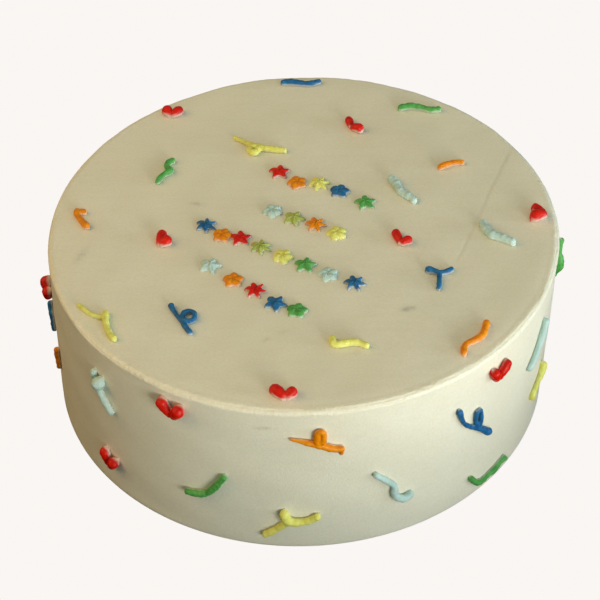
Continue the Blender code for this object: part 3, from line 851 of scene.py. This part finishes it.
for seed, (name, (colour, surface, width, strokes)) in enumerate(squiggles.items()):
    rng = np.random.default_rng(seed)
    skins = [strokeSkin(surface, width * mm, stroke, order, rng) for order, stroke in enumerate(strokes)]
    finishedIcing(name, skins, surface, colour, seed)
print("squiggles made:", len(squiggles))

for seed, (name, (surface, *drops)) in enumerate(hearts.items()):
    rng = np.random.default_rng(200 + seed)
    skins = []
    for order, (across, along, heading, length, width) in enumerate(drops):
        stroke = (across, along, heading, [(length, 0)], piping["heartShares"])
        skins.append(strokeSkin(surface, width * mm, stroke, order, rng, 0.5))
    finishedIcing(name, skins, surface, "red", 100 + seed)
print("hearts made:", len(hearts))

# The small marks in the middle of the top: kind, colour and place (mm)
marks = [
    ("star", "red", -9, 33), ("blossom", "orange", -2, 26), ("burst", "yellow", 7, 25),
    ("blossom", "blue", 15, 20), ("star", "green", 25, 12.5),
    ("blossom", "mint", -12, 9), ("star", "olive", -3.5, 4), ("burst", "orange", 5, 0),
    ("blossom", "yellow", 13, -5.5),
    ("burst", "blue", -38, 1), ("blossom", "orange", -31.5, -5), ("star", "red", -24.5, -7),
    ("burst", "olive", -16.5, -12.5), ("blossom", "yellow", -8, -18), ("star", "green", 0.5, -23.5),
    ("blossom", "mint", 9, -29), ("burst", "blue", 19, -34.5),
    ("star", "mint", -36, -22.5), ("blossom", "orange", -27, -31), ("burst", "red", -18.5, -37),
    ("star", "blue", -11, -44.5), ("blossom", "green", -3, -48.5),
]

# What the marks share, and each kind's reach, height, number of points or petals, how deep the
# gaps are and how sharp
markShape = {
    "sides": 80,
    "rings": 16,
    "sunk": -0.25,  # the foot's depth in the frosting, as a share of the height
    "twist": 0.35,  # how far the ridges turn with height (radians)
    "turnEach": 0.35,  # how much further round each mark is set than the one before
    "unevenness": 0.04 * mm,
}
markKinds = {
    "star": {"reach": 4.6 * mm, "height": 2.0 * mm, "points": 5, "gap": 0.48, "sharp": 1.5},
    "blossom": {"reach": 4.2 * mm, "height": 2.0 * mm, "points": 5, "gap": 0.28, "sharp": 0.7},
    "burst": {"reach": 4.5 * mm, "height": 2.0 * mm, "points": 6, "gap": 0.56, "sharp": 1.8},
}


def markSkin(index, kind, across, along):
    # Reach = outline(angle) times a dome's share, height = the dome's rise. The outline's points
    # fade towards the middle and turn a little with height, as a piped star's ridges do
    look, shape = markKinds[kind], markShape
    around = np.arange(shape["sides"])[None, :] * 2 * math.pi / shape["sides"]
    dome = np.sin(np.linspace(0, math.pi / 2, shape["rings"]))
    rise = np.concatenate([[shape["sunk"]], dome[:-1]])[:, None]
    share = np.where(rise < 0, 0.94, np.sqrt(1 - np.clip(rise, 0, 1) ** 2) ** 0.8)
    twist = shape["twist"] * np.clip(rise, 0, 1) ** 2
    wave = (0.5 + 0.5 * np.cos(look["points"] * (around + twist))) ** look["sharp"]
    depth = look["gap"] * (1 - 0.5 * np.clip(rise, 0, 1))
    reach = look["reach"] * share * (1 - depth * (1 - wave))
    height = look["height"] * rise * np.where(rise > 0, 0.82 + 0.18 * wave, 1)
    if kind == "blossom":
        height = height - 0.3 * look["height"] * np.exp(-(share / 0.3) ** 2) * (rise > 0)
    turn = math.pi / 2 + index * shape["turnEach"] + around
    x, y = across * mm, along * mm
    rings = onCake("top", x + reach * np.cos(turn), y + reach * np.sin(turn), height)
    ends = height[[0, -1]].mean(axis=1)
    foot, middle = onCake("top", np.full(2, x), np.full(2, y), ends)
    return ringSkin(rings, foot, middle)


for seed, colour in enumerate(icingLooks):
    rows = [(index, kind, x, y) for index, (kind, c, x, y) in enumerate(marks) if c == colour]
    points, faces = merged([markSkin(*row) for row in rows])
    mesh = meshOf(colour + "_marks", points, faces)
    points, normals = pointsOf(mesh), normalsOf(mesh)
    wave = markShape["unevenness"] * ripple(points, 1.4 * mm, 700 + seed)
    setPoints(mesh, points + normals * wave[:, None])
    # the painted highlight at the marks' feet, on the flanks that face the lights
    setValues(mesh, "pale", paintedFootHighlight("top", points, normals, 800 + seed))
    slot = None if colour == "olive" else colour  # olive has no slot of its own
    placed(colour + "_marks", mesh, icings[colour], slot, "frosted_cake")
print("marks made:", len(marks))

# The floor is a wide dish that glows an even pale tint, as the photograph's backdrop does
stage = {"reach": 2.6, "rim": 0.9, "height": 2.2, "colour": (0.956, 0.923, 0.896, 1)}
# A low dark tray round the cake, which the camera doesn't see, keeps some light off its foot
shade = {"reach": 0.45, "height": 0.06, "below": 0.001}
stageHole = 0.002  # both leave this much open under the middle of the cake


def turned(profile, columns):
    # Each place of a profile (reach, height) carried once round the upright axis
    reach, z = np.array(profile).T
    turn = np.arange(columns)[None, :] * 2 * math.pi / columns
    rings = np.stack([
        reach[:, None] * np.sin(turn), -reach[:, None] * np.cos(turn),
        np.broadcast_to(z[:, None], (len(z), columns)),
    ], axis=-1)
    return rings.reshape(-1, 3), ringQuads(len(z), columns)


def setting(name, profile, colour, glow):
    # A piece of the room round the cake, made of one plain tint and not part of the cake
    points, faces = turned(profile, 96)
    mesh = meshOf(name, points, faces)
    material, _, shader = newMaterial(name)
    shader.inputs["Base Color"].default_value = (0, 0, 0, 1)
    shader.inputs["Specular IOR Level"].default_value = 0
    shader.inputs["Emission Color"].default_value = colour
    shader.inputs["Emission Strength"].default_value = glow
    mesh.materials.append(material)
    piece = bpy.data.objects.new(name, mesh)
    bpy.context.scene.collection.objects.link(piece)
    return piece


bend = np.linspace(0, math.pi / 2, 12)
edge = stage["reach"] - stage["rim"]
dish = [(stageHole, 0), (0.4, 0), (0.9, 0)]
dish += [(edge + stage["rim"] * math.sin(t), stage["rim"] * (1 - math.cos(t))) for t in bend]
floor = setting("floor", dish + [(stage["reach"], stage["height"])], stage["colour"], 1)
floor.visible_diffuse = False
floor.visible_glossy = False
floor.visible_shadow = False
low, rim = -shade["below"], shade["reach"]
tray = setting("shade_tray", [(stageHole, low), (rim, low), (rim, shade["height"])], (0, 0, 0, 1), 0)
tray.visible_camera = False

# Soft lights: azimuth from the front towards the right and elevation in degrees, width in metres,
# power in watts and colour, all at one distance from the middle of the underside
lights = {
    "windowLow": {"azimuth": 30, "elevation": 8, "size": 0.6, "power": 12.0, "colour": (1, 0.84, 0.61)},
    "windowHigh": {"azimuth": 30, "elevation": 14, "size": 0.6, "power": 4.0, "colour": (0.30, 0.64, 1)},
    "rightSide": {"azimuth": 75, "elevation": 4, "size": 0.6, "power": 11.5, "colour": (0.82, 0.88, 1)},
    "leftRoom": {"azimuth": -90, "elevation": 45, "size": 1.1, "power": 7.2, "colour": (1, 0.58, 0.21)},
}
lightDistance = 1.2
world = {"colour": (0.77, 1.0, 0.94), "strength": 0.33}

for name, look in lights.items():
    data = bpy.data.lights.new(name, "AREA")
    data.energy = look["power"]
    data.color = look["colour"]
    data.shape = "DISK"
    data.size = look["size"]
    light = bpy.data.objects.new(name, data)
    bpy.context.scene.collection.objects.link(light)
    light.visible_camera = False
    a, e = math.radians(look["azimuth"]), math.radians(look["elevation"])
    way = Vector((math.sin(a) * math.cos(e), -math.cos(a) * math.cos(e), math.sin(e)))
    light.location = way * lightDistance
    light.rotation_mode = "QUATERNION"
    light.rotation_quaternion = (-way).to_track_quat("-Z", "Y")

sky = bpy.data.worlds.new("room")
sky.use_nodes = True
background = sky.node_tree.nodes["Background"]
background.inputs["Color"].default_value = (*world["colour"], 1)
background.inputs["Strength"].default_value = world["strength"]
bpy.context.scene.world = sky
bpy.context.scene.view_settings.view_transform = "Standard"
bpy.context.scene.view_settings.look = "None"

# The camera stands in front, looking down; angles in radians, the lens for a 36 mm wide sensor
camera = {
    "elevation": 0.78685,
    "distance": 0.745235,
    "pitch": 0.03431,  # how much it looks above the middle of the underside
    "yaw": 0.0001,
    "roll": 0.02106,
    "lens": 106.08,
}
cosE, sinE = math.cos(camera["elevation"]), math.sin(camera["elevation"])
cameraData = bpy.data.cameras.new("camera")
cameraData.lens = camera["lens"]
cameraData.sensor_width = 36
cameraData.clip_start = 0.01
cameraData.clip_end = 20
cameraObject = bpy.data.objects.new("camera", cameraData)
bpy.context.scene.collection.objects.link(cameraObject)
level = np.array([[1, 0, 0], [0, sinE, cosE], [0, cosE, -sinE]])  # right, up and forward
cosT, sinT = math.cos(camera["yaw"]), math.sin(camera["yaw"])
cosP, sinP = math.cos(camera["pitch"]), math.sin(camera["pitch"])
cosR, sinR = math.cos(camera["roll"]), math.sin(camera["roll"])
yaw = np.array([[cosT, 0, -sinT], [0, 1, 0], [sinT, 0, cosT]])
pitch = np.array([[1, 0, 0], [0, cosP, -sinP], [0, sinP, cosP]])
roll = np.array([[cosR, -sinR, 0], [sinR, cosR, 0], [0, 0, 1]])
right, up, forward = roll @ pitch @ yaw @ level
cameraObject.matrix_world = Matrix((
    (right[0], up[0], -forward[0], 0),
    (right[1], up[1], -forward[1], -camera["distance"] * cosE),
    (right[2], up[2], -forward[2], camera["distance"] * sinE),
    (0, 0, 0, 1),
))
bpy.context.scene.camera = cameraObject
print("lights and camera set")
